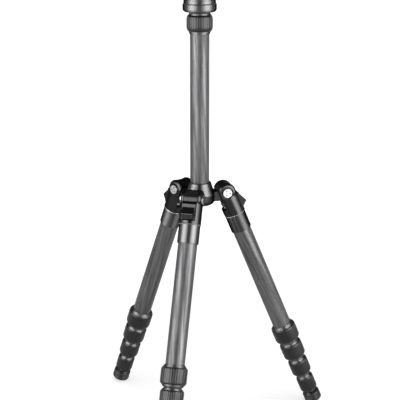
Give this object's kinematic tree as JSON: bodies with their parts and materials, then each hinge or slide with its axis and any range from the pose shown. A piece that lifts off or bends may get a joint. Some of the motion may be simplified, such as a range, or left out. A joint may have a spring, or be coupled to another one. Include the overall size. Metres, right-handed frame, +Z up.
{
  "type": "travel tripod",
  "caption": "Small travel tripod with carbon tubes, twist locks, reverse folding legs, an extending column and a compact ball head.",
  "frame": {"origin": "the point on the floor under the column's axis, midway between the three feet", "axes": "+Z up along the column, -Y towards the front leg, +X to the right of a viewer who faces the front leg"},
  "size_m": [0.2758, 0.2416, 0.5725],
  "materials": {
    "carbon_tube": "satin carbon fibre tube",
    "rubber_grip": "ribbed rubber sleeve on a black aluminium ring",
    "rubber_foot": "matt",
    "black_casting": "satin",
    "black_anodised": "glossy black",
    "bright_steel": "satin",
    "black_plastic": "matt"
  },
  "bodies": {
    "hub": {"hub": "black_casting", "neck_collar": "black_anodised", "pivot_bolts": "bright_steel", "column_tube": "carbon_tube", "column_plug": "black_plastic"},
    "column_lock": {"column_lock": "rubber_grip"},
    "inner_column": {"inner_column": "carbon_tube", "platform": "black_anodised", "head_base": "black_anodised"},
    "head_body": {"head_body": "black_anodised"},
    "ball": {"ball": "bright_steel", "clamp_base": "black_anodised"},
    "ball_knob": {"ball_knob": "black_plastic"},
    "pan_knob": {"pan_knob": "black_plastic"},
    "clamp_jaw": {"clamp_jaw": "black_anodised"},
    "clamp_knob": {"clamp_knob": "black_plastic"},
    "camera_plate": {"camera_plate": "black_anodised"},
    "camera_screw": {"camera_screw": "bright_steel"},
    "front_leg": {"front_crown": "black_casting", "front_collar": "black_anodised", "front_screw": "bright_steel", "front_tube1": "carbon_tube"},
    "front_latch": {"front_latch": "black_casting"},
    "front_lock1": {"front_lock1": "rubber_grip"},
    "front_section2": {"front_tube2": "carbon_tube"},
    "front_lock2": {"front_lock2": "rubber_grip"},
    "front_section3": {"front_tube3": "carbon_tube"},
    "front_lock3": {"front_lock3": "rubber_grip"},
    "front_section4": {"front_tube4": "carbon_tube"},
    "front_lock4": {"front_lock4": "rubber_grip"},
    "front_section5": {"front_tube5": "carbon_tube", "front_foot": "rubber_foot"},
    "right_leg": {"right_crown": "black_casting", "right_collar": "black_anodised", "right_screw": "bright_steel", "right_tube1": "carbon_tube"},
    "right_latch": {"right_latch": "black_casting"},
    "right_lock1": {"right_lock1": "rubber_grip"},
    "right_section2": {"right_tube2": "carbon_tube"},
    "right_lock2": {"right_lock2": "rubber_grip"},
    "right_section3": {"right_tube3": "carbon_tube"},
    "right_lock3": {"right_lock3": "rubber_grip"},
    "right_section4": {"right_tube4": "carbon_tube"},
    "right_lock4": {"right_lock4": "rubber_grip"},
    "right_section5": {"right_tube5": "carbon_tube", "right_foot": "rubber_foot"},
    "left_leg": {"left_crown": "black_casting", "left_collar": "black_anodised", "left_screw": "bright_steel", "left_tube1": "carbon_tube"},
    "left_latch": {"left_latch": "black_casting"},
    "left_lock1": {"left_lock1": "rubber_grip"},
    "left_section2": {"left_tube2": "carbon_tube"},
    "left_lock2": {"left_lock2": "rubber_grip"},
    "left_section3": {"left_tube3": "carbon_tube"},
    "left_lock3": {"left_lock3": "rubber_grip"},
    "left_section4": {"left_tube4": "carbon_tube"},
    "left_lock4": {"left_lock4": "rubber_grip"},
    "left_section5": {"left_tube5": "carbon_tube", "left_foot": "rubber_foot"}
  },
  "joints": [
    {"name": "column_lock_twist", "type": "hinge", "parent": "hub", "child": "column_lock", "pos_m": [0, 0, 0.46739], "axis": [0, 0, 1], "range_deg": [0, 120]},
    {"name": "inner_column_slide", "type": "slide", "parent": "hub", "child": "inner_column", "axis": [0, 0, 1], "range_m": [0, 0.14]},
    {"name": "head_pan", "type": "hinge", "parent": "inner_column", "child": "head_body", "pos_m": [0, 0, 0.50869], "axis": [0, 0, 1], "continuous": true},
    {"name": "ball_tilt", "type": "hinge", "parent": "head_body", "child": "ball", "pos_m": [0, 0, 0.53169], "axis": [-0.5, -0.866, 0], "range_deg": [-35, 90]},
    {"name": "ball_lock_turn", "type": "hinge", "parent": "head_body", "child": "ball_knob", "pos_m": [0.0149, -0.0086, 0.52369], "axis": [0.866, -0.5, 0], "range_deg": [0, 270]},
    {"name": "pan_lock_turn", "type": "hinge", "parent": "head_body", "child": "pan_knob", "pos_m": [0, 0.0172, 0.51409], "axis": [0, 1, 0], "range_deg": [0, 270]},
    {"name": "clamp_knob_turn", "type": "hinge", "parent": "clamp_jaw", "child": "clamp_knob", "pos_m": [0, 0, 0.55389], "axis": [-0.5, -0.866, 0], "range_deg": [0, 1080]},
    {"name": "clamp_jaw_slide", "type": "slide", "parent": "ball", "child": "clamp_jaw", "axis": [-0.5, -0.866, 0], "range_m": [0, 0.0015]},
    {"name": "plate_slide", "type": "slide", "parent": "ball", "child": "camera_plate", "axis": [0.866, -0.5, 0], "range_m": [-0.012, 0.012]},
    {"name": "camera_screw_turn", "type": "hinge", "parent": "camera_plate", "child": "camera_screw", "pos_m": [0, 0, 0.56759], "axis": [0, 0, 1], "continuous": true},
    {"name": "front_leg_swing", "type": "hinge", "parent": "hub", "child": "front_leg", "pos_m": [0, -0.0302, 0.28279], "axis": [-1, 0, 0], "range_deg": [-21, 151]},
    {"name": "front_latch_pull", "type": "slide", "parent": "front_leg", "child": "front_latch", "axis": [0, -0.9219, 0.3875], "range_m": [0, 0.0025], "stiffness_N_per_m": 400, "springref_m": -0.002},
    {"name": "front_lock1_twist", "type": "hinge", "parent": "front_leg", "child": "front_lock1", "pos_m": [0, -0.03094, 0.2831], "axis": [0, -0.3875, -0.9219], "range_deg": [0, 120]},
    {"name": "front_section2_slide", "type": "slide", "parent": "front_leg", "child": "front_section2", "axis": [0, -0.3875, -0.9219], "range_m": [0, 0.136]},
    {"name": "front_lock2_twist", "type": "hinge", "parent": "front_section2", "child": "front_lock2", "pos_m": [0, -0.03094, 0.2831], "axis": [0, -0.3875, -0.9219], "range_deg": [0, 120]},
    {"name": "front_section3_slide", "type": "slide", "parent": "front_section2", "child": "front_section3", "axis": [0, -0.3875, -0.9219], "range_m": [0, 0.159]},
    {"name": "front_lock3_twist", "type": "hinge", "parent": "front_section3", "child": "front_lock3", "pos_m": [0, -0.03094, 0.2831], "axis": [0, -0.3875, -0.9219], "range_deg": [0, 120]},
    {"name": "front_section4_slide", "type": "slide", "parent": "front_section3", "child": "front_section4", "axis": [0, -0.3875, -0.9219], "range_m": [0, 0.183]},
    {"name": "front_lock4_twist", "type": "hinge", "parent": "front_section4", "child": "front_lock4", "pos_m": [0, -0.03094, 0.2831], "axis": [0, -0.3875, -0.9219], "range_deg": [0, 120]},
    {"name": "front_section5_slide", "type": "slide", "parent": "front_section4", "child": "front_section5", "axis": [0, -0.3875, -0.9219], "range_m": [0, 0.207]},
    {"name": "right_leg_swing", "type": "hinge", "parent": "hub", "child": "right_leg", "pos_m": [0.02615, 0.0151, 0.28279], "axis": [0.5, -0.866, 0], "range_deg": [-21, 151]},
    {"name": "right_latch_pull", "type": "slide", "parent": "right_leg", "child": "right_latch", "axis": [0.7984, 0.4609, 0.3875], "range_m": [0, 0.0025], "stiffness_N_per_m": 400, "springref_m": -0.002},
    {"name": "right_lock1_twist", "type": "hinge", "parent": "right_leg", "child": "right_lock1", "pos_m": [0.02679, 0.01547, 0.2831], "axis": [0.3356, 0.1938, -0.9219], "range_deg": [0, 120]},
    {"name": "right_section2_slide", "type": "slide", "parent": "right_leg", "child": "right_section2", "axis": [0.3356, 0.1938, -0.9219], "range_m": [0, 0.136]},
    {"name": "right_lock2_twist", "type": "hinge", "parent": "right_section2", "child": "right_lock2", "pos_m": [0.02679, 0.01547, 0.2831], "axis": [0.3356, 0.1938, -0.9219], "range_deg": [0, 120]},
    {"name": "right_section3_slide", "type": "slide", "parent": "right_section2", "child": "right_section3", "axis": [0.3356, 0.1938, -0.9219], "range_m": [0, 0.159]},
    {"name": "right_lock3_twist", "type": "hinge", "parent": "right_section3", "child": "right_lock3", "pos_m": [0.02679, 0.01547, 0.2831], "axis": [0.3356, 0.1938, -0.9219], "range_deg": [0, 120]},
    {"name": "right_section4_slide", "type": "slide", "parent": "right_section3", "child": "right_section4", "axis": [0.3356, 0.1938, -0.9219], "range_m": [0, 0.183]},
    {"name": "right_lock4_twist", "type": "hinge", "parent": "right_section4", "child": "right_lock4", "pos_m": [0.02679, 0.01547, 0.2831], "axis": [0.3356, 0.1938, -0.9219], "range_deg": [0, 120]},
    {"name": "right_section5_slide", "type": "slide", "parent": "right_section4", "child": "right_section5", "axis": [0.3356, 0.1938, -0.9219], "range_m": [0, 0.207]},
    {"name": "left_leg_swing", "type": "hinge", "parent": "hub", "child": "left_leg", "pos_m": [-0.02615, 0.0151, 0.28279], "axis": [0.5, 0.866, 0], "range_deg": [-21, 151]},
    {"name": "left_latch_pull", "type": "slide", "parent": "left_leg", "child": "left_latch", "axis": [-0.7984, 0.4609, 0.3875], "range_m": [0, 0.0025], "stiffness_N_per_m": 400, "springref_m": -0.002},
    {"name": "left_lock1_twist", "type": "hinge", "parent": "left_leg", "child": "left_lock1", "pos_m": [-0.02679, 0.01547, 0.2831], "axis": [-0.3356, 0.1938, -0.9219], "range_deg": [0, 120]},
    {"name": "left_section2_slide", "type": "slide", "parent": "left_leg", "child": "left_section2", "axis": [-0.3356, 0.1938, -0.9219], "range_m": [0, 0.136]},
    {"name": "left_lock2_twist", "type": "hinge", "parent": "left_section2", "child": "left_lock2", "pos_m": [-0.02679, 0.01547, 0.2831], "axis": [-0.3356, 0.1938, -0.9219], "range_deg": [0, 120]},
    {"name": "left_section3_slide", "type": "slide", "parent": "left_section2", "child": "left_section3", "axis": [-0.3356, 0.1938, -0.9219], "range_m": [0, 0.159]},
    {"name": "left_lock3_twist", "type": "hinge", "parent": "left_section3", "child": "left_lock3", "pos_m": [-0.02679, 0.01547, 0.2831], "axis": [-0.3356, 0.1938, -0.9219], "range_deg": [0, 120]},
    {"name": "left_section4_slide", "type": "slide", "parent": "left_section3", "child": "left_section4", "axis": [-0.3356, 0.1938, -0.9219], "range_m": [0, 0.183]},
    {"name": "left_lock4_twist", "type": "hinge", "parent": "left_section4", "child": "left_lock4", "pos_m": [-0.02679, 0.01547, 0.2831], "axis": [-0.3356, 0.1938, -0.9219], "range_deg": [0, 120]},
    {"name": "left_section5_slide", "type": "slide", "parent": "left_section4", "child": "left_section5", "axis": [-0.3356, 0.1938, -0.9219], "range_m": [0, 0.207]}
  ],
  "couplings": [
    {"joint": "clamp_knob_turn", "follows": "clamp_jaw_slide", "rad_per_m": 12566}
  ]
}
